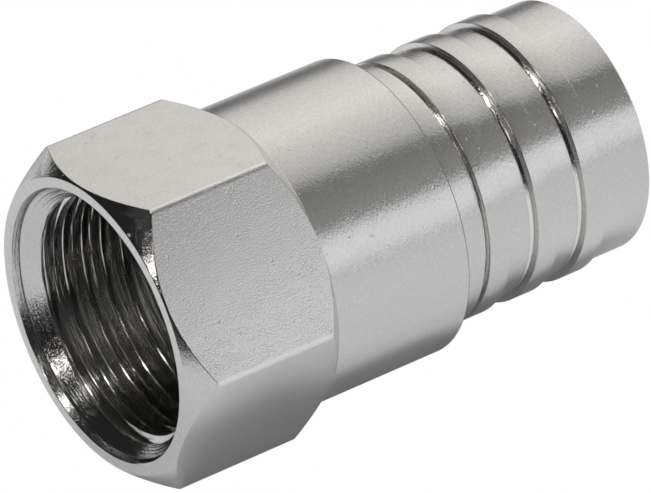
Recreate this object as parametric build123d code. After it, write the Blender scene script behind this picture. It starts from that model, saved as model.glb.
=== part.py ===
from build123d import *
import math
import os

# Coaxial cable plug with a screw-on collar, in millimetres.
# A hexagonal coupling nut turns freely on a flanged inner post, and a grooved crimp sleeve is pressed
# on the post behind it. The cable's own centre wire is the plug's contact.
# The mouth's face lies at X = 0, +X points out of the mouth and +Z is up. Every "back" value is a
# distance behind the mouth's face.

# Thread of the coupling, 3/8 inch with 32 turns to the inch.
thread_major_diameter = 9.525
thread_pitch = 25.4 / 32
thread_engagement = 0.8
threaded_depth = 8.6

# Coupling nut: outside. The wall over the thread makes the spanner size 11 mm across flats.
wall_over_thread = 0.7375
nut_length = 12.0
hexagon_length = 6.4
chamfer_angle = 43.0
face_step = 0.05
skirt_step = 0.01
skirt_end_round = 0.12

# Coupling nut: mouth and inside.
face_ring_width = 0.4
mouth_bevel = 0.12
mouth_bevel_depth = 0.32
countersink_angle = 46.0
undercut_clearance = 0.09
lip_thickness = 1.6
lip_bevel = 0.15

# Inner post.
flange_clearance = 0.12
flange_thickness = 1.2
end_play = 0.1
running_clearance = 0.08
neck_diameter = 6.9
dielectric_bore_diameter = 4.8
tube_wall = 0.45
tail_inset = 1.2
tail_bevel = 0.15
barb_height = 0.2
barb_length = 0.9

# Grooved sleeve.
sleeve_gap = 0.1
sleeve_length = 8.4
sleeve_diameter = 9.72
sleeve_wall = 0.76
sleeve_front_wall = 1.6
sleeve_edge_bevel = 0.08
entry_bevel = 0.15
groove_count = 3
groove_pitch = 2.09
first_groove_offset = 1.14
groove_width = 0.24
groove_depth = 0.2
groove_floor_width = 0.08
land_length = 0.9
land_step = 0.18

# Sizes that follow from the ones above.
thread_depth = math.sqrt(3) / 2 * thread_pitch * 5 / 8 * thread_engagement
thread_minor_radius = thread_major_diameter / 2 - thread_depth
across_flats = thread_major_diameter + 2 * wall_over_thread
corner_radius = across_flats / math.sqrt(3)
face_radius = across_flats / 2 - face_step
skirt_radius = across_flats / 2 - skirt_step
chamfer_slope = math.tan(math.radians(chamfer_angle))
front_chamfer_depth = (corner_radius - face_radius) * chamfer_slope
rear_chamfer_depth = (corner_radius - skirt_radius) * chamfer_slope
mouth_radius = face_radius - face_ring_width
countersink_radius = mouth_radius - mouth_bevel
countersink_depth = (countersink_radius - thread_minor_radius) * math.tan(math.radians(countersink_angle))
thread_start_back = mouth_bevel_depth + countersink_depth
undercut_radius = thread_major_diameter / 2 + undercut_clearance
lip_back = nut_length - lip_thickness
neck_radius = neck_diameter / 2
lip_hole_radius = neck_radius + running_clearance
flange_radius = thread_minor_radius - flange_clearance
flange_rear_back = lip_back - end_play
flange_front_back = flange_rear_back - flange_thickness
sleeve_front_back = nut_length + sleeve_gap
sleeve_rear_back = sleeve_front_back + sleeve_length
bore_radius = dielectric_bore_diameter / 2
tube_radius = bore_radius + tube_wall
neck_rear_back = sleeve_front_back + sleeve_front_wall
tail_back = sleeve_rear_back - tail_inset
land_radius = sleeve_diameter / 2
cavity_radius = land_radius - sleeve_wall
low_radius = land_radius - land_step


def turned(points):
    """Solid of revolution about the X axis from (distance behind the mouth's face, radius) points."""
    outline = Polyline(*[(-back, radius) for back, radius in points], close=True)
    return revolve(Plane.XZ * make_face(outline), Axis.X)


def nut_blank():
    """Hexagonal bar, chamfered at both ends, with the round skirt behind it."""
    hexagon = RegularPolygon(across_flats / 2, 6, major_radius=False)
    bar = extrude(Plane.YZ * hexagon, -hexagon_length)
    chamfered = turned([
        (0, 0),
        (0, face_radius),
        (front_chamfer_depth, corner_radius),
        (hexagon_length - rear_chamfer_depth, corner_radius),
        (hexagon_length, skirt_radius),
        (hexagon_length, 0),
    ])
    skirt = Rot(0, -90, 0) * Cylinder(
        skirt_radius, nut_length - hexagon_length, align=(Align.CENTER, Align.CENTER, Align.MIN))
    blank = (bar & chamfered) + Pos(-hexagon_length, 0, 0) * skirt
    rim = blank.edges().filter_by(GeomType.CIRCLE).sort_by(Axis.X)[0]
    return fillet(rim, skirt_end_round)


def nut_cavity():
    """What is cut from the nut: mouth, countersink, thread core, undercut and the hole in the rear lip."""
    return turned([
        (0, 0),
        (0, mouth_radius),
        (mouth_bevel_depth, countersink_radius),
        (thread_start_back, thread_minor_radius),
        (threaded_depth, thread_minor_radius),
        (threaded_depth + undercut_radius - thread_minor_radius, undercut_radius),
        (lip_back, undercut_radius),
        (lip_back, lip_hole_radius),
        (nut_length - lip_bevel, lip_hole_radius),
        (nut_length, lip_hole_radius + lip_bevel),
        (nut_length, 0),
    ])


def coupling_nut():
    """One-piece nut: a hexagon for the spanner in front, and a plain skirt behind it."""
    return nut_blank() - nut_cavity()


def flanged_post():
    """Inner tube with the flange that holds the nut, the neck that it turns on and a barbed tail."""
    barb_back = tail_back - barb_length
    return turned([
        (flange_front_back, bore_radius),
        (flange_front_back, flange_radius),
        (flange_rear_back, flange_radius),
        (flange_rear_back, neck_radius),
        (neck_rear_back, neck_radius),
        (neck_rear_back, tube_radius),
        (barb_back, tube_radius),
        (barb_back, tube_radius + barb_height),
        (tail_back, tube_radius),
        (tail_back, bore_radius + tail_bevel),
        (tail_back - tail_bevel, bore_radius),
    ])


def groove_outline(groove_back, front_radius):
    """One ring groove, the land behind it and the step down at the land's rear edge."""
    front = groove_back - groove_width / 2
    rear = groove_back + groove_width / 2
    floor = low_radius - groove_depth
    return [
        (front, front_radius),
        (groove_back - groove_floor_width / 2, floor),
        (groove_back + groove_floor_width / 2, floor),
        (rear, land_radius),
        (rear + land_length, land_radius),
        (rear + land_length, low_radius),
    ]


def grooved_sleeve():
    """Crimp sleeve: a front wall pressed on the post's neck, and a tube with ring grooves round it."""
    outline = [
        (sleeve_front_back, neck_radius),
        (sleeve_front_back, land_radius - sleeve_edge_bevel),
        (sleeve_front_back + sleeve_edge_bevel, land_radius),
    ]
    front_radius = land_radius
    for number in range(groove_count):
        groove_back = sleeve_front_back + first_groove_offset + number * groove_pitch
        outline += groove_outline(groove_back, front_radius)
        front_radius = low_radius
    outline += [
        (sleeve_rear_back - sleeve_edge_bevel, low_radius),
        (sleeve_rear_back, low_radius - sleeve_edge_bevel),
        (sleeve_rear_back, cavity_radius + entry_bevel),
        (sleeve_rear_back - entry_bevel, cavity_radius),
        (neck_rear_back, cavity_radius),
        (neck_rear_back, neck_radius),
    ]
    return turned(outline)


os.makedirs("parts", exist_ok=True)
export_step(coupling_nut(), "parts/coupling_nut.step")
export_step(flanged_post(), "parts/flanged_post.step")
export_step(grooved_sleeve(), "parts/grooved_sleeve.step")
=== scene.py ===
import bpy
import bmesh
import math
from mathutils import Matrix, Vector


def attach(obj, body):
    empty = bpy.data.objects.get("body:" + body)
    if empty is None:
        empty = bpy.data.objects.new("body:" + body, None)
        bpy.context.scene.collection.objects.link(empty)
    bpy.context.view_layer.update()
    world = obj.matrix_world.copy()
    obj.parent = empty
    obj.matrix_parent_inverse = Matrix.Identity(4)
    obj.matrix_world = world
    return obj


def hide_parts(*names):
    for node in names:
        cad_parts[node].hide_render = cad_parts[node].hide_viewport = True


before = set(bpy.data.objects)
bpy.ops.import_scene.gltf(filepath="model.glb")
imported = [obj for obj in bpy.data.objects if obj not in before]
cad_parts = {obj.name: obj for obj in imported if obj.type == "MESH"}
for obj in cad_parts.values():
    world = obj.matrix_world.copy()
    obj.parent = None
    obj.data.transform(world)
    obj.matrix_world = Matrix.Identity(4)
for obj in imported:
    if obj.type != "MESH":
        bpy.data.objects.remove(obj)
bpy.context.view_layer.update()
print("frame loaded")

# All sizes below are in millimetres and are turned to metres where a mesh is made.
# "Back" is the distance behind the mouth's face, as in the part's own drawing.
mm = 0.001
mergeDistance = 2e-7  # metres, for closing seams
sliverLength = 1e-8
longestRound = 0.45  # the share of a side that the rounding of one corner may take


def linearColour(hexValue):
    channels = [int(hexValue[i:i + 2], 16) / 255 for i in (1, 3, 5)]
    turned = [c / 12.92 if c <= 0.04045 else ((c + 0.055) / 1.055) ** 2.4 for c in channels]
    return (*turned, 1.0)


def addNode(tree, kind, settings=None, links=None):
    # settings holds properties by name and inputs by position or name; links go from sockets to inputs
    node = tree.nodes.new(kind)
    for key, value in (settings or {}).items():
        if isinstance(key, int) or key in node.inputs:
            node.inputs[key].default_value = value
        else:
            setattr(node, key, value)
    for key, socket in (links or {}).items():
        tree.links.new(socket, node.inputs[key])
    return node


def roundedProfile(points, segments=4):
    # points are (back, radius, round); each corner becomes segments + 1 points
    profile = []
    for i, (back, radius, rounding) in enumerate(points):
        here = Vector((back, radius))
        if i in (0, len(points) - 1) or rounding == 0:
            profile.append(here)
            continue
        before = Vector(points[i - 1][:2]) - here
        after = Vector(points[i + 1][:2]) - here
        half = before.angle(after) / 2
        reach = min(rounding / max(math.tan(half), 1e-6),
                    longestRound * before.length, longestRound * after.length)
        start = here + before.normalized() * reach
        end = here + after.normalized() * reach
        for k in range(segments + 1):
            t = k / segments
            profile.append(start * (1 - t) ** 2 + here * 2 * t * (1 - t) + end * t ** 2)
    return profile


def loftedShell(name, profiles, angles, closed):
    # one profile for each angle round the X axis; the first and last points meet where closed is true
    mesh = bpy.data.meshes.new(name)
    build = bmesh.new()
    columns = []
    for profile, angle in zip(profiles, angles):
        column = []
        for point in profile:
            place = (-point.x, point.y * math.cos(angle), point.y * math.sin(angle))
            column.append(build.verts.new([v * mm for v in place]))
        columns.append(column)
    count = len(columns[0])
    steps = count if closed else count - 1
    for j, column in enumerate(columns):
        other = columns[(j + 1) % len(columns)]
        for i in range(steps):
            k = (i + 1) % count
            build.faces.new((column[i], column[k], other[k], other[i]))
    build.to_mesh(mesh)
    build.free()
    return mesh


def finishShell(name, meshes, sharpAngle, finishes, choose):
    # joins the meshes, closes their seams, turns every face outwards and gives each face its finish
    build = bmesh.new()
    for mesh in meshes:
        build.from_mesh(mesh)
    bmesh.ops.remove_doubles(build, verts=build.verts, dist=mergeDistance)
    bmesh.ops.dissolve_degenerate(build, edges=build.edges, dist=sliverLength)
    bmesh.ops.recalc_face_normals(build, faces=build.faces)
    openEdges = sum(1 for edge in build.edges if not edge.is_manifold)
    for face in build.faces:
        face.material_index = choose(face.calc_center_median() / mm, face.normal)
    mesh = bpy.data.meshes.new(name)
    build.to_mesh(mesh)
    build.free()
    for finish in finishes:
        mesh.materials.append(finish)
    mesh.shade_smooth()
    mesh.set_sharp_from_angle(angle=math.radians(sharpAngle))
    piece = bpy.data.objects.new(name, mesh)
    bpy.context.scene.collection.objects.link(piece)
    triangles = sum(len(face.vertices) - 2 for face in mesh.polygons)
    print(name, "has", triangles, "triangles and", openEdges, "open edges")
    return piece


def latheAngles(columns):
    return [2 * math.pi * j / columns for j in range(columns)]


# The thread of the coupling: 3/8 inch, 32 turns to the inch, right handed. The crest ends and the rounded
# root starts and ends at these shares of the way from the middle of a crest to the middle of a root.
thread = {
    "majorRadius": 4.7625,
    "minorRadius": 4.4188,
    "pitch": 0.79375,
    "crestShare": 0.42,
    "rootStart": 0.70,
    "rootEnd": 0.90,
    "rowsPerTurn": 22,
    "rowGather": 0.5,
}

nut = {
    "halfFlats": 5.5,
    "length": 12.0,
    "hexagonLength": 6.4,
    "chamferSlope": math.tan(math.radians(43.0)),
    "faceRadius": 5.45,
    "skirtRadius": 5.49,
    "mouthRadius": 5.05,
    "bevelBack": 0.32,
    "countersinkRadius": 4.93,
    "countersinkAngle": 46.0,
    "lineDepth": 0.05,
    "lineWidth": 0.05,
    "lineRound": 0.005,
    "undercutRadius": 4.8525,
    "undercutBack": 9.0337,
    "lipBack": 10.4,
    "lipHoleRadius": 3.53,
    "lipBevel": 0.15,
    "cornerRound": 0.22,
    "edgeRound": 0.07,
    "rimRound": 0.06,
    "creaseAngle": 24,
    "columns": 264,
    "columnGather": 0.75,
    "flatTolerance": 0.002,
    "edgeTolerance": 0.02,
    "sideTilt": 0.05,
}


def nutAngles():
    # columns lie closer together at the hexagon's corners
    angles = []
    for even in latheAngles(nut["columns"]):
        angles.append(even - nut["columnGather"] * math.sin(6 * even) / 6)
    return angles


def hexagonRadius(angle):
    # distance from the axis to the rounded hexagon, whose corners lie at 0, 60, 120 degrees and so on
    fromFlat = abs((angle % (math.pi / 3)) - math.pi / 6)
    flat = nut["halfFlats"]
    rounding = nut["cornerRound"]
    if fromFlat <= math.atan((flat - rounding) * math.tan(math.pi / 6) / flat):
        return flat / math.cos(fromFlat)
    centre = (flat - rounding) / math.cos(math.pi / 6)
    offCorner = math.pi / 6 - fromFlat
    return centre * math.cos(offCorner) + math.sqrt(rounding ** 2 - (centre * math.sin(offCorner)) ** 2)


def nutProfile(angle):
    # from the undercut at the rear, round the outside of the nut, to the countersink in the mouth
    sink = nut["countersinkRadius"]
    bevelRise = (nut["mouthRadius"] - sink) / nut["bevelBack"]
    flat = hexagonRadius(angle)
    front = (flat - nut["faceRadius"]) * nut["chamferSlope"]
    rear = nut["hexagonLength"] - (flat - nut["skirtRadius"]) * nut["chamferSlope"]
    edge = nut["edgeRound"]
    lineBack = nut["bevelBack"] - nut["lineWidth"]
    return roundedProfile([
        (nut["undercutBack"], nut["undercutRadius"], 0),
        (nut["lipBack"], nut["undercutRadius"], edge),
        (nut["lipBack"], nut["lipHoleRadius"], edge),
        (nut["length"] - nut["lipBevel"], nut["lipHoleRadius"], edge),
        (nut["length"], nut["lipHoleRadius"] + nut["lipBevel"], edge),
        (nut["length"], nut["skirtRadius"], nut["rimRound"]),
        (nut["hexagonLength"], nut["skirtRadius"], edge),
        (rear, flat, edge),
        (front, flat, edge),
        (0, nut["faceRadius"], edge),
        (0, nut["mouthRadius"], edge),
        (lineBack, sink + nut["lineWidth"] * bevelRise, nut["lineRound"]),
        (nut["bevelBack"] - nut["lineWidth"] / 2, sink + nut["lineDepth"], nut["lineRound"]),
        (nut["bevelBack"], sink, 0),
    ])


def threadTree():
    # a sheet whose rows follow the helix, wrapped round the axis and cut off square at both ends
    tree = bpy.data.node_groups.new("internalThread", "GeometryNodeTree")
    sockets = (
        ("Columns", "NodeSocketInt"), ("Column Gather", "NodeSocketFloat"),
        ("Rows Per Turn", "NodeSocketInt"), ("Row Gather", "NodeSocketFloat"),
        ("Start Back", "NodeSocketFloat"), ("End Back", "NodeSocketFloat"), ("Pitch", "NodeSocketFloat"),
        ("Minor Radius", "NodeSocketFloat"), ("Major Radius", "NodeSocketFloat"),
        ("Crest Share", "NodeSocketFloat"),
        ("Root Start", "NodeSocketFloat"), ("Root End", "NodeSocketFloat"),
        ("Sink Radius", "NodeSocketFloat"), ("Countersink Fall", "NodeSocketFloat"),
        ("Undercut Radius", "NodeSocketFloat"), ("Material", "NodeSocketMaterial"),
    )
    for name, kind in sockets:
        tree.interface.new_socket(name=name, in_out="INPUT", socket_type=kind)
    tree.interface.new_socket(name="Geometry", in_out="OUTPUT", socket_type="NodeSocketGeometry")
    given = addNode(tree, "NodeGroupInput").outputs

    def calc(operation, a, b=None, c=None):
        settings, links = {"operation": operation}, {}
        for place, value in enumerate((a, b, c)):
            if isinstance(value, bpy.types.NodeSocket):
                links[place] = value
            elif value is not None:
                settings[place] = value
        return addNode(tree, "ShaderNodeMath", settings, links).outputs[0]

    length = calc("SUBTRACT", given["End Back"], given["Start Back"])
    turns = calc("ADD", calc("CEIL", calc("DIVIDE", length, given["Pitch"])), 1.0)
    rows = calc("ADD", calc("MULTIPLY", turns, given["Rows Per Turn"]), 1.0)
    columns = calc("ADD", given["Columns"], 1.0)
    grid = addNode(tree, "GeometryNodeMeshGrid", {"Size X": 1.0, "Size Y": 1.0},
                   {"Vertices X": columns, "Vertices Y": rows})
    position = addNode(tree, "GeometryNodeInputPosition").outputs[0]
    place = addNode(tree, "ShaderNodeSeparateXYZ", {}, {0: position})
    across = calc("ADD", place.outputs["X"], 0.5)
    along = calc("ADD", place.outputs["Y"], 0.5)

    # columns are gathered as the nut's are, so that the two meet point for point
    even = calc("MULTIPLY", across, 2 * math.pi)
    wave = calc("DIVIDE", calc("SINE", calc("MULTIPLY", even, 6.0)), 6.0)
    angle = calc("SUBTRACT", even, calc("MULTIPLY", wave, given["Column Gather"]))
    turn = calc("DIVIDE", angle, 2 * math.pi)
    # rows lie closer together at the thread's crests and roots
    evenRow = calc("MULTIPLY", along, turns)
    rowWave = calc("DIVIDE", calc("SINE", calc("MULTIPLY", evenRow, 4 * math.pi)), 4 * math.pi)
    row = calc("SUBTRACT", evenRow, calc("MULTIPLY", rowWave, given["Row Gather"]))
    free = calc("MULTIPLY", calc("SUBTRACT", row, turn), given["Pitch"])
    back = calc("MINIMUM", calc("MAXIMUM", calc("ADD", free, given["Start Back"]), given["Start Back"]),
                given["End Back"])
    behindStart = calc("SUBTRACT", back, given["Start Back"])
    phase = calc("ADD", calc("DIVIDE", behindStart, given["Pitch"]), turn)
    rise = calc("MULTIPLY", calc("PINGPONG", phase, 0.5), 2.0)
    # flat crest, straight flank, then a rounded root, whose easing takes the flank's slope back to nothing
    reached = calc("MINIMUM", rise, given["Root End"])
    straight = calc("MAXIMUM", calc("SUBTRACT", reached, given["Crest Share"]), 0.0)
    bend = calc("MAXIMUM", calc("SUBTRACT", reached, given["Root Start"]), 0.0)
    bendShare = calc("SUBTRACT", given["Root End"], given["Root Start"])
    easing = calc("DIVIDE", calc("MULTIPLY", calc("MULTIPLY", bend, bend), 0.5), bendShare)
    fullRise = calc("SUBTRACT", calc("SUBTRACT", given["Root End"], given["Crest Share"]),
                    calc("MULTIPLY", bendShare, 0.5))
    share = calc("DIVIDE", calc("SUBTRACT", straight, easing), fullRise)
    depth = calc("SUBTRACT", given["Major Radius"], given["Minor Radius"])
    cut = calc("MULTIPLY_ADD", share, depth, given["Minor Radius"])
    # the countersink and the undercut run through the thread at its ends
    sinkDrop = calc("MULTIPLY", behindStart, given["Countersink Fall"])
    countersink = calc("SUBTRACT", given["Sink Radius"], sinkDrop)
    undercut = calc("SUBTRACT", given["Undercut Radius"], calc("SUBTRACT", given["End Back"], back))
    radius = calc("MAXIMUM", calc("MAXIMUM", cut, countersink), undercut)
    wrapped = addNode(tree, "ShaderNodeCombineXYZ", {}, {
        "X": calc("MULTIPLY", back, -1.0),
        "Y": calc("MULTIPLY", radius, calc("COSINE", angle)),
        "Z": calc("MULTIPLY", radius, calc("SINE", angle)),
    })
    bent = addNode(tree, "GeometryNodeSetPosition", {}, {
        "Geometry": grid.outputs["Mesh"],
        "Position": wrapped.outputs[0],
    })
    merged = addNode(tree, "GeometryNodeMergeByDistance", {"Distance": mergeDistance},
                     {"Geometry": bent.outputs[0]})
    realized = addNode(tree, "GeometryNodeRealizeInstances", {}, {"Geometry": merged.outputs[0]})
    coated = addNode(tree, "GeometryNodeSetMaterial", {}, {
        "Geometry": realized.outputs[0],
        "Material": given["Material"],
    })
    addNode(tree, "NodeGroupOutput", {}, {"Geometry": coated.outputs[0]})
    return tree


def meshFromTree(name, tree, values):
    holder = bpy.data.objects.new(name, bpy.data.meshes.new(name))
    bpy.context.scene.collection.objects.link(holder)
    modifier = holder.modifiers.new(name, "NODES")
    modifier.node_group = tree
    for item in tree.interface.items_tree:
        if item.in_out == "INPUT" and item.name in values:
            modifier[item.identifier] = values[item.name]
    bpy.context.view_layer.update()
    seen = bpy.context.evaluated_depsgraph_get()
    mesh = bpy.data.meshes.new_from_object(holder.evaluated_get(seen), depsgraph=seen)
    holder.modifiers.remove(modifier)
    bpy.data.objects.remove(holder)
    return mesh


def threadMesh(material):
    return meshFromTree("threadTurns", threadTree(), {
        "Columns": nut["columns"],
        "Column Gather": nut["columnGather"],
        "Rows Per Turn": thread["rowsPerTurn"],
        "Row Gather": thread["rowGather"],
        "Start Back": nut["bevelBack"] * mm,
        "End Back": nut["undercutBack"] * mm,
        "Pitch": thread["pitch"] * mm,
        "Minor Radius": thread["minorRadius"] * mm,
        "Major Radius": thread["majorRadius"] * mm,
        "Crest Share": thread["crestShare"],
        "Root Start": thread["rootStart"],
        "Root End": thread["rootEnd"],
        "Sink Radius": nut["countersinkRadius"] * mm,
        "Countersink Fall": 1 / math.tan(math.radians(nut["countersinkAngle"])),
        "Undercut Radius": nut["undercutRadius"] * mm,
        "Material": material,
    })


def nutFinish(centre, normal):
    # 0 is a turned surface, 1 a flat of the hexagon, 2 the thread, 3 a rubbed edge of the hexagon,
    # 4 the mouth's bevel and countersink, 5 the fine line between these two, and the skirt's rear rim, both
    # darkened as painted shade
    radius, back = math.hypot(centre.y, centre.z), -centre.x
    sink, bevelBack, margin = nut["countersinkRadius"], nut["bevelBack"], nut["edgeTolerance"]
    if radius < sink and bevelBack < back < nut["undercutBack"]:
        sinkDepth = (sink - thread["minorRadius"]) * math.tan(math.radians(nut["countersinkAngle"]))
        onSink = back < bevelBack + sinkDepth and radius > sink - (back - bevelBack) - margin
        return 4 if onSink else 2
    if radius < nut["mouthRadius"] and back < bevelBack:
        return 5 if back > bevelBack - nut["lineWidth"] else 4
    if back > nut["length"] - nut["rimRound"] and radius > nut["skirtRadius"] - 2 * nut["rimRound"]:
        return 5
    flat = nut["halfFlats"]
    onSide = abs(normal.x) < nut["sideTilt"] and radius > flat - margin
    if not onSide or back >= nut["hexagonLength"] - margin:
        return 0
    fromFlat = abs((math.atan2(centre.z, centre.y) % (math.pi / 3)) - math.pi / 6)
    return 1 if radius * math.cos(fromFlat) > flat - nut["flatTolerance"] else 3


def makeNut(turned, flat, threaded, rubbed, sunk, rim):
    angles = nutAngles()
    outside = loftedShell("nutOutside", [nutProfile(a) for a in angles], angles, closed=False)
    piece = finishShell("threadedNut", [outside, threadMesh(threaded)], nut["creaseAngle"],
                        [turned, flat, threaded, rubbed, sunk, rim], nutFinish)
    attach(piece, "nut")
    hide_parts("coupling_nut")


post = {
    "boreRadius": 2.4,
    "flangeFront": 9.1,
    "flangeRear": 10.3,
    "flangeRadius": 4.2988,
    "neckRadius": 3.45,
    "neckRear": 13.7,
    "tubeRadius": 2.85,
    "tailBack": 19.3,
    "barbLength": 0.9,
    "barbHeight": 0.2,
    "barbRound": 0.01,
    "tailBevel": 0.15,
    "edgeRound": 0.04,
    "seamStep": 0.1,
    "creaseAngle": 30,
    "columns": 160,
}


def makePost(material):
    # the closed profile starts and ends in the middle of the bore, seamStep apart
    edge = post["edgeRound"]
    barbBack = post["tailBack"] - post["barbLength"]
    middle = (post["flangeFront"] + post["tailBack"]) / 2
    bore = post["boreRadius"]
    profile = roundedProfile([
        (middle, bore, 0),
        (post["flangeFront"], bore, edge),
        (post["flangeFront"], post["flangeRadius"], edge),
        (post["flangeRear"], post["flangeRadius"], edge),
        (post["flangeRear"], post["neckRadius"], edge),
        (post["neckRear"], post["neckRadius"], edge),
        (post["neckRear"], post["tubeRadius"], edge),
        (barbBack, post["tubeRadius"], post["barbRound"]),
        (barbBack, post["tubeRadius"] + post["barbHeight"], post["barbRound"]),
        (post["tailBack"], post["tubeRadius"], edge),
        (post["tailBack"], bore + post["tailBevel"], edge),
        (post["tailBack"] - post["tailBevel"], bore, edge),
        (middle + post["seamStep"], bore, 0),
    ])
    angles = latheAngles(post["columns"])
    shell = loftedShell("postShell", [profile] * len(angles), angles, closed=True)
    piece = finishShell("innerPost", [shell], post["creaseAngle"], [material], lambda centre, normal: 0)
    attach(piece, "plug_body")
    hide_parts("flanged_post")


sleeve = {
    "frontBack": 12.1,
    "rearBack": 20.5,
    "neckRadius": 3.45,
    "cavityFront": 13.7,
    "cavityRadius": 4.1,
    "landRadius": 4.86,
    "landStep": 0.18,
    "landLength": 0.9,
    "grooveCount": 3,
    "groovePitch": 2.09,
    "firstGroove": 1.14,
    "grooveWidth": 0.24,
    "grooveDepth": 0.15,
    "troughStart": -0.08,
    "troughEnd": 0.09,
    "troughRise": 0.07,
    "troughSteps": 5,
    "edgeBevel": 0.08,
    "entryBevel": 0.15,
    "edgeRound": 0.03,
    "seamStep": 0.1,
    "creaseAngle": 30,
    "columns": 256,
    "grooveMargin": 0.01,
    "cavityMargin": 0.1,
}


def grooveSteps(centre, frontRadius):
    # the floor bends up towards the rear in a shallow trough, below the steep wall of the land
    low = sleeve["landRadius"] - sleeve["landStep"]
    floor = low - sleeve["grooveDepth"]
    edge = sleeve["edgeRound"]
    rear = centre + sleeve["grooveWidth"] / 2
    steps = [(centre - sleeve["grooveWidth"] / 2, frontRadius, edge)]
    for number in range(sleeve["troughSteps"] + 1):
        share = number / sleeve["troughSteps"]
        back = centre + sleeve["troughStart"] + share * (sleeve["troughEnd"] - sleeve["troughStart"])
        steps.append((back, floor + sleeve["troughRise"] * share ** 2, 0))
    return steps + [
        (rear, sleeve["landRadius"], edge),
        (rear + sleeve["landLength"], sleeve["landRadius"], edge),
        (rear + sleeve["landLength"], low, edge),
    ]


def sleeveFinish(centre, normal):
    # 1 in the ring grooves, 0 elsewhere
    offset = -centre.x - sleeve["frontBack"] - sleeve["firstGroove"]
    number = min(max(round(offset / sleeve["groovePitch"]), 0), sleeve["grooveCount"] - 1)
    halfWidth = sleeve["grooveWidth"] / 2 - sleeve["grooveMargin"]
    inGroove = abs(offset - number * sleeve["groovePitch"]) < halfWidth
    outside = math.hypot(centre.y, centre.z) > sleeve["cavityRadius"] + sleeve["cavityMargin"]
    return 1 if inGroove and outside else 0


def makeSleeve(material, grooved):
    # the closed profile starts and ends in the hole of the front wall, seamStep apart
    edge = sleeve["edgeRound"]
    land = sleeve["landRadius"]
    front = sleeve["frontBack"]
    middle = (sleeve["cavityFront"] + front) / 2
    steps = [
        (middle, sleeve["neckRadius"], 0),
        (front, sleeve["neckRadius"], edge),
        (front, land - sleeve["edgeBevel"], edge),
        (front + sleeve["edgeBevel"], land, edge),
    ]
    frontRadius = land
    for number in range(sleeve["grooveCount"]):
        centre = front + sleeve["firstGroove"] + number * sleeve["groovePitch"]
        steps += grooveSteps(centre, frontRadius)
        frontRadius = land - sleeve["landStep"]
    rear = sleeve["rearBack"]
    cavity = sleeve["cavityRadius"]
    steps += [
        (rear - sleeve["edgeBevel"], frontRadius, edge),
        (rear, frontRadius - sleeve["edgeBevel"], edge),
        (rear, cavity + sleeve["entryBevel"], edge),
        (rear - sleeve["entryBevel"], cavity, edge),
        (sleeve["cavityFront"], cavity, edge),
        (sleeve["cavityFront"], sleeve["neckRadius"], edge),
        (middle + sleeve["seamStep"], sleeve["neckRadius"], 0),
    ]
    profile = roundedProfile(steps)
    angles = latheAngles(sleeve["columns"])
    shell = loftedShell("sleeveShell", [profile] * len(angles), angles, closed=True)
    piece = finishShell("crimpSleeve", [shell], sleeve["creaseAngle"], [material, grooved], sleeveFinish)
    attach(piece, "plug_body")
    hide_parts("grooved_sleeve")


# Sizes of the marks in millimetres. The starts and fulls are levels of the noise that the marks come from.
plating = {
    "colour": "#d3d2d0",
    "meanRadius": 4.8,
    "streakWidth": 0.036,
    "streakLength": 0.17,
    "ringWidth": 0.05,
    "ringLength": 2.5,
    "grainStretch": 1.3,
    "grainStart": 0.5,
    "grainFull": 0.8,
    "patchSize": 0.9,
    "pitSize": 0.22,
    "pitStart": 0.73,
    "pitFull": 0.78,
}

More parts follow.
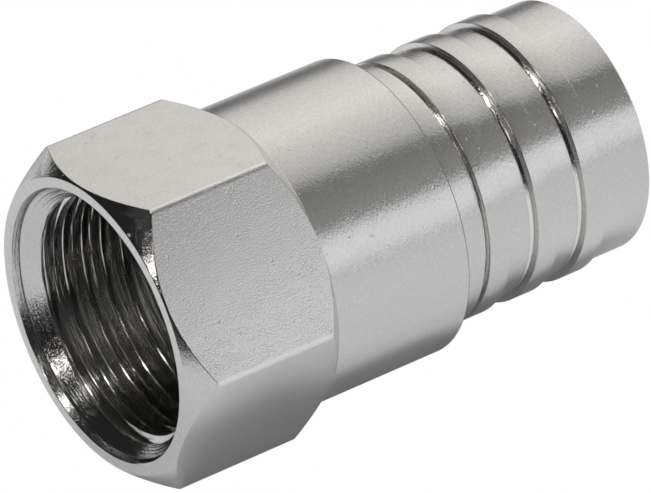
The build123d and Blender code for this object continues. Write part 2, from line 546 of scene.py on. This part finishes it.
# Heights of the marks in millimetres: the cutting tool's fine streaks and longer rings, the plated grain and
# small pits. Stretch spreads the reflections along the axis, tarnish darkens the valleys between the marks,
# and polish lightens the whole base colour, or darkens it where negative: polish on most finishes, a painted
# highlight in the ring grooves, and painted shade on the mouth's fine line, the skirt's rear rim and the
# post.
finishes = {
    # skirt, chamfers, mouth's ring and sleeve: satin, with short marks square to the axis
    "turnedNickelPlate": {
        "roughness": 0.09, "stretch": 0.3, "streak": 0.0085, "ring": 0.0010, "grain": 0.0020,
        "grainSize": 0.05, "pit": 0.006, "tarnish": 0.6, "polishAndPaintedLight": 0.0,
    },
    # hexagon's flats: even, fine matt grain
    "milledNickelPlate": {
        "roughness": 0.16, "stretch": 0.0, "streak": 0.0, "ring": 0.0, "grain": 0.0042,
        "grainSize": 0.052, "pit": 0.006, "tarnish": 0.5, "polishAndPaintedLight": 0.03,
    },
    # thread: bright, with fine lines along the turns
    "threadNickelPlate": {
        "roughness": 0.10, "stretch": 0.5, "streak": 0.003, "ring": 0.022, "grain": 0.0015,
        "grainSize": 0.042, "pit": 0.0, "tarnish": 0.3, "polishAndPaintedLight": 0.1,
    },
    # hexagon's edges: rubbed bright
    "rubbedNickelPlate": {
        "roughness": 0.14, "stretch": 0.0, "streak": 0.0, "ring": 0.0, "grain": 0.008,
        "grainSize": 0.06, "pit": 0.0, "tarnish": 0.3, "polishAndPaintedLight": 0.22,
    },
    # mouth's bevel and countersink: glossy, with deep turning lines that sparkle
    "countersunkNickelPlate": {
        "roughness": 0.10, "stretch": 0.5, "streak": 0.008, "ring": 0.016, "grain": 0.003,
        "grainSize": 0.05, "pit": 0.0, "tarnish": 0.5, "polishAndPaintedLight": 0.0,
    },
    # ring grooves: smooth, with short white glints from the lamps; the base colour is lightened here as a
    # painted highlight, to whiten the glints
    "groovedNickelPlate": {
        "roughness": 0.14, "stretch": 0.6, "streak": 0.003, "ring": 0.003, "grain": 0.0025,
        "grainSize": 0.05, "pit": 0.0, "tarnish": 0.2, "polishAndPaintedLight": 0.25,
    },
    # fine line in the mouth and the skirt's rear rim: dull, with the base colour darkened as painted shade
    # for the crease and the gap behind the rim
    "paintedShadeNickelPlate": {
        "roughness": 0.3, "stretch": 0.0, "streak": 0.0, "ring": 0.0, "grain": 0.004,
        "grainSize": 0.06, "pit": 0.0, "tarnish": 0.4, "polishAndPaintedLight": -0.55,
    },
    # inner post: satin, with the base colour darkened as painted shade inside the nut's bore
    "satinNickelPlate": {
        "roughness": 0.22, "stretch": 0.4, "streak": 0.0044, "ring": 0.0010, "grain": 0.0030,
        "grainSize": 0.05, "pit": 0.0, "tarnish": 0.4, "polishAndPaintedLight": -0.25,
    },
}


def scaledPlace(tree, place, scales):
    # object coordinates turned into cells of the given sizes in millimetres
    return addNode(tree, "ShaderNodeVectorMath",
                   {"operation": "MULTIPLY", 1: [1 / (size * mm) for size in scales]}, {0: place}).outputs[0]


def aroundAxis(tree, place, meanRadius):
    # (distance along the axis, distance round it, 0), in metres
    parts = addNode(tree, "ShaderNodeSeparateXYZ", {}, {0: place})
    angle = addNode(tree, "ShaderNodeMath", {"operation": "ARCTAN2"},
                    {0: parts.outputs["Z"], 1: parts.outputs["Y"]}).outputs[0]
    arc = addNode(tree, "ShaderNodeMath", {"operation": "MULTIPLY", 1: meanRadius * mm},
                  {0: angle}).outputs[0]
    return addNode(tree, "ShaderNodeCombineXYZ", {}, {"X": parts.outputs["X"], "Y": arc}).outputs[0]


def weighted(tree, parts):
    # sum of (socket, factor) pairs
    total = None
    for socket, factor in parts:
        links = {0: socket} if total is None else {0: socket, 2: total}
        total = addNode(tree, "ShaderNodeMath", {"operation": "MULTIPLY_ADD", 1: factor, 2: 0.0},
                        links).outputs[0]
    return total


def remapped(tree, value, start, end, low, high, settings=None):
    # value from start to end becomes low to high, and is held there beyond
    span = {"From Min": start, "From Max": end, "To Min": low, "To Max": high}
    return addNode(tree, "ShaderNodeMapRange", {**(settings or {}), **span}, {"Value": value}).outputs[0]


def nickelPlate(name, finish):
    # nickel electroplated over turned brass: a warm grey metal with the marks that the finish lists
    material = bpy.data.materials.new(name)
    material.use_nodes = True
    tree = material.node_tree
    shader = tree.nodes["Principled BSDF"]
    shader.inputs["Metallic"].default_value = 1.0
    shader.inputs["Roughness"].default_value = finish["roughness"]
    shader.inputs["Anisotropic"].default_value = finish["stretch"]
    place = addNode(tree, "ShaderNodeTexCoord").outputs["Object"]
    around = aroundAxis(tree, place, plating["meanRadius"])

    def noise(vector, scales, detail):
        return addNode(tree, "ShaderNodeTexNoise", {"Scale": 1.0, "Detail": detail},
                       {"Vector": scaledPlace(tree, vector, scales)}).outputs["Fac"]

    streaks = noise(around, (plating["streakWidth"], plating["streakLength"], 1.0), detail=2.0)
    rings = noise(around, (plating["ringWidth"], plating["ringLength"], 1.0), detail=2.0)
    size = finish["grainSize"]
    grains = noise(place, (size * plating["grainStretch"], size, size), detail=3.0)
    # dents cover about half of the surface, more in some patches, and pits are rare
    dents = remapped(tree, grains, plating["grainStart"], plating["grainFull"], 0.0, 1.0)
    patches = noise(place, [plating["patchSize"]] * 3, detail=1.0)
    patchy = addNode(tree, "ShaderNodeMath", {"operation": "MULTIPLY"}, {0: dents, 1: patches}).outputs[0]
    spread = noise(place, [plating["pitSize"]] * 3, detail=1.0)
    pits = remapped(tree, spread, plating["pitStart"], plating["pitFull"], 0.0, 1.0)
    # patches average one half, so the grain counts twice
    height = weighted(tree, [(streaks, finish["streak"]), (rings, finish["ring"]),
                             (patchy, -2 * finish["grain"]), (pits, -finish["pit"])])
    bump = addNode(tree, "ShaderNodeBump", {"Strength": 1.0, "Distance": mm}, {"Height": height})
    tree.links.new(bump.outputs["Normal"], shader.inputs["Normal"])

    # the valleys between the marks are a little darker than the ridges
    tarnish = finish["tarnish"]
    dulled = weighted(tree, [(streaks, tarnish / 2), (grains, tarnish / 2)])
    shade = addNode(tree, "ShaderNodeMath", {"operation": "ADD", 1: 1 - tarnish / 2 + finish["polishAndPaintedLight"]},
                    {0: dulled}).outputs[0]
    tone = addNode(tree, "ShaderNodeVectorMath",
                   {"operation": "SCALE", 0: linearColour(plating["colour"])[:3]},
                   {"Scale": shade}).outputs[0]
    tree.links.new(tone, shader.inputs["Base Color"])

    # reflections spread along the axis, square to the turning marks
    axis = {"vector_type": "VECTOR", "convert_from": "OBJECT", "convert_to": "WORLD", 0: (1.0, 0.0, 0.0)}
    along = addNode(tree, "ShaderNodeVectorTransform", axis)
    tree.links.new(along.outputs[0], shader.inputs["Tangent"])
    return material


metal = {name: nickelPlate(name, finish) for name, finish in finishes.items()}
makeNut(metal["turnedNickelPlate"], metal["milledNickelPlate"], metal["threadNickelPlate"],
        metal["rubbedNickelPlate"], metal["countersunkNickelPlate"], metal["paintedShadeNickelPlate"])
makePost(metal["satinNickelPlate"])
makeSleeve(metal["turnedNickelPlate"], metal["groovedNickelPlate"])
print("pieces made")


# Lengths and places on the floor are in millimetres, along X (open, ahead) and Y (near, far). The starts and
# ends of front and fall, and mainReach, are parts of a unit direction. The rest are factors.
studio = {
    "floorDrop": 5.5,
    "floorReach": 4000.0,
    "floorColour": "#f3f4f7",
    "floorGlow": 0.03,
    "nearBack": -12.0,
    "farBack": -60.0,
    "farShare": 0.25,
    "openStart": -14.0,
    "openEnd": -2.0,
    "aheadStart": 14.0,
    "aheadEnd": 30.0,
    "aheadShare": 0.08,
    "frontGlow": 0.02,
    "frontStart": -0.12,
    "frontEnd": 0.08,
    "levelScale": 2.0,
    "mainReach": -0.477,
    "reachFall": 1.5,
    "fallStart": 0.3,
    "fallEnd": 0.45,
    "lampDistance": 500.0,
}

# Light round the connector's axis as (angle, brightness, tint): 0 degrees is level on the camera's side,
# where a white card stands, 90 is overhead, where the softbox begins, and 180 is level behind the connector.
warm, cool, plain = (1.0, 0.975, 0.95), (0.985, 0.985, 1.025), (1.0, 1.0, 0.98)
lightBands = [
    (-180.0, 0.25, plain), (-90.0, 0.6, plain), (-40.0, 0.95, cool), (26.0, 0.95, cool),
    (30.0, 0.33, plain), (50.0, 0.27, plain), (67.0, 0.20, plain), (72.0, 0.5, plain),
    (80.0, 0.64, plain), (96.0, 0.82, warm), (106.0, 0.91, warm), (120.0, 1.07, warm),
    (136.0, 0.97, warm), (152.0, 0.88, warm), (165.0, 0.72, warm), (172.0, 0.27, plain),
    (180.0, 0.25, plain),
]

# Lamps as (name, direction, across, size in mm, brightness, tint, seen in the metal).
lamps = [
    ("frontStrip", (0.4025, 0.1324, 0.9057), (0.56, -0.25, -0.21), (343.0, 26.0), 14.0,
     (1.0, 0.98, 0.96), True),
    ("frontSpot", (0.875, 0.22, 0.42), (0.0, 1.0, 0.0), (42.0, 56.0), 16.0, (1.0, 0.97, 0.96), True),
    ("mouthSpot", (0.56, 0.55, 0.615), (0.0, 1.0, 0.0), (46.0, 40.0), 11.0, (1.0, 0.93, 0.91), True),
    ("backCard", (0.10, -0.985, 0.05), (1.0, 0.0, 0.0), (115.0, 80.0), 0.8, (1.0, 1.0, 1.0), True),
    ("floorLight", (0.10, 0.16, 0.98), (1.0, 0.0, 0.0), (160.0, 90.0), 16.0, (1.0, 1.0, 1.0), False),
    ("frontFill", (0.72, 0.05, 0.70), (0.0, 1.0, 0.0), (160.0, 120.0), 6.0, (1.0, 1.0, 1.0), False),
]


def bandRamp(tree, share):
    ramp = addNode(tree, "ShaderNodeValToRGB", {}, {"Fac": share})
    stops = ramp.color_ramp.elements
    while len(stops) > 1:
        stops.remove(stops[-1])
    for number, (degrees, brightness, tint) in enumerate(lightBands):
        place = (degrees + 180) / 360
        stop = stops[0] if number == 0 else stops.new(place)
        stop.position = place
        stop.color = (*[c * brightness / studio["levelScale"] for c in tint], 1)
    return ramp.outputs["Color"]


def makeWorld():
    world = bpy.data.worlds.new("softStudio")
    bpy.context.scene.world = world
    world.use_nodes = True
    tree = world.node_tree
    background = tree.nodes["Background"]
    direction = addNode(tree, "ShaderNodeTexCoord").outputs["Generated"]
    ways = addNode(tree, "ShaderNodeSeparateXYZ", {}, {0: direction})
    angle = addNode(tree, "ShaderNodeMath", {"operation": "ARCTAN2"},
                    {0: ways.outputs["Z"], 1: ways.outputs["Y"]}).outputs[0]
    share = addNode(tree, "ShaderNodeMath", {"operation": "MULTIPLY_ADD", 1: 1 / (2 * math.pi), 2: 0.5},
                    {0: angle}).outputs[0]
    # the studio is dark ahead of the mouth, and overhead the light also falls off on the way there
    front = remapped(tree, ways.outputs["X"], studio["frontStart"], studio["frontEnd"],
                     studio["levelScale"], 0.0, {"interpolation_type": "SMOOTHSTEP"})
    high = remapped(tree, ways.outputs["Z"], studio["fallStart"], studio["fallEnd"], 0.0, studio["reachFall"])
    past = remapped(tree, ways.outputs["X"], studio["mainReach"], 0.0, 0.0, studio["mainReach"])
    fall = addNode(tree, "ShaderNodeMath", {"operation": "MULTIPLY_ADD", 2: 1.0},
                   {0: high, 1: past}).outputs[0]
    level = addNode(tree, "ShaderNodeMath", {"operation": "MULTIPLY"}, {0: fall, 1: front}).outputs[0]
    lit = addNode(tree, "ShaderNodeVectorMath", {"operation": "SCALE"},
                  {0: bandRamp(tree, share), "Scale": level}).outputs[0]
    room = addNode(tree, "ShaderNodeVectorMath", {"operation": "ADD", 1: [studio["frontGlow"]] * 3},
                   {0: lit}).outputs[0]
    # the camera itself sees plain white
    seen = addNode(tree, "ShaderNodeLightPath").outputs["Is Camera Ray"]
    shown = addNode(tree, "ShaderNodeMix", {"data_type": "RGBA", 7: (1, 1, 1, 1)}, {0: seen, 6: room})
    tree.links.new(shown.outputs[2], background.inputs["Color"])


def makeFloor():
    half = studio["floorReach"] / 2 * mm
    level = -studio["floorDrop"] * mm
    mesh = bpy.data.meshes.new("paleFloor")
    corners = [(-half, -half, level), (half, -half, level), (half, half, level), (-half, half, level)]
    mesh.from_pydata(corners, [], [(0, 1, 2, 3)])
    floor = bpy.data.objects.new("paleFloor", mesh)
    bpy.context.scene.collection.objects.link(floor)
    material = bpy.data.materials.new("paleFloorSheet")
    material.use_nodes = True
    tree = material.node_tree
    tree.nodes.clear()
    place = addNode(tree, "ShaderNodeTexCoord").outputs["Object"]
    ways = addNode(tree, "ShaderNodeSeparateXYZ", {}, {0: place})
    # the sheet's colour, and with it its glow, is darkened behind the connector, except beside the mouth, and
    # far ahead of it: painted shade where the light falls off
    behind = remapped(tree, ways.outputs["Y"], studio["farBack"] * mm, studio["nearBack"] * mm,
                      studio["farShare"], 1.0)
    beside = remapped(tree, ways.outputs["X"], studio["openStart"] * mm, studio["openEnd"] * mm, 0.0, 1.0)
    near = addNode(tree, "ShaderNodeMath", {"operation": "MAXIMUM"}, {0: behind, 1: beside}).outputs[0]
    ahead = remapped(tree, ways.outputs["X"], studio["aheadStart"] * mm, studio["aheadEnd"] * mm,
                     1.0, studio["aheadShare"])
    fall = addNode(tree, "ShaderNodeMath", {"operation": "MULTIPLY"}, {0: near, 1: ahead}).outputs[0]
    colour = addNode(tree, "ShaderNodeVectorMath",
                     {"operation": "SCALE", 0: linearColour(studio["floorColour"])[:3]},
                     {"Scale": fall}).outputs[0]
    matt = addNode(tree, "ShaderNodeBsdfDiffuse", {}, {"Color": colour})
    glow = addNode(tree, "ShaderNodeEmission", {"Strength": studio["floorGlow"]}, {"Color": colour})
    both = addNode(tree, "ShaderNodeAddShader", {}, {0: matt.outputs[0], 1: glow.outputs[0]})
    white = addNode(tree, "ShaderNodeEmission", {"Color": (1, 1, 1, 1), "Strength": 1.0})
    seen = addNode(tree, "ShaderNodeLightPath").outputs["Is Camera Ray"]
    shown = addNode(tree, "ShaderNodeMixShader", {}, {0: seen, 1: both.outputs[0], 2: white.outputs[0]})
    addNode(tree, "ShaderNodeOutputMaterial", {}, {"Surface": shown.outputs[0]})
    mesh.materials.append(material)


def makeLamps():
    # rectangular lamps that face the connector from half a metre away
    for name, direction, across, (width, height), brightness, tint, seen in lamps:
        data = bpy.data.lights.new(name, "AREA")
        data.shape = "RECTANGLE"
        data.size, data.size_y = width * mm, height * mm
        data.energy = brightness * math.pi * data.size * data.size_y
        data.color = tint
        lamp = bpy.data.objects.new(name, data)
        bpy.context.scene.collection.objects.link(lamp)
        out = Vector(direction).normalized()
        side = (Vector(across) - out * out.dot(Vector(across))).normalized()
        turned = Matrix((side, out.cross(side), out)).transposed().to_4x4()
        lamp.matrix_world = Matrix.Translation(out * studio["lampDistance"] * mm) @ turned
        lamp.visible_glossy = seen
        lamp.visible_camera = False


# The photograph's own view of the connector: lengths in millimetres, angles in degrees.
view = {
    "target": (-9.48, 0.41, -0.44),
    "azimuth": 146.86,
    "elevation": 29.17,
    "roll": -5.42,
    "distance": 302.0,
    "lens": 480.4,
    "sensorWidth": 36.0,
    "clipStart": 10.0,
    "clipEnd": 10000.0,
}


def makeCamera():
    turn, rise = math.radians(view["azimuth"]), math.radians(view["elevation"])
    back = Vector((math.sin(turn) * math.cos(rise), -math.cos(turn) * math.cos(rise), math.sin(rise)))
    camera = bpy.data.objects.new("studioCamera", bpy.data.cameras.new("studioCamera"))
    bpy.context.scene.collection.objects.link(camera)
    camera.data.sensor_width = view["sensorWidth"]
    camera.data.lens = view["lens"]
    camera.data.clip_start = view["clipStart"] * mm
    camera.data.clip_end = view["clipEnd"] * mm
    look = (-back).to_track_quat("-Z", "Y").to_matrix().to_4x4()
    place = Vector(view["target"]) * mm + back * view["distance"] * mm
    roll = Matrix.Rotation(math.radians(view["roll"]), 4, "Z")
    camera.matrix_world = Matrix.Translation(place) @ look @ roll
    bpy.context.scene.camera = camera


makeWorld()
makeFloor()
makeLamps()
makeCamera()
bpy.context.scene.view_settings.view_transform = "Standard"
print("studio made")
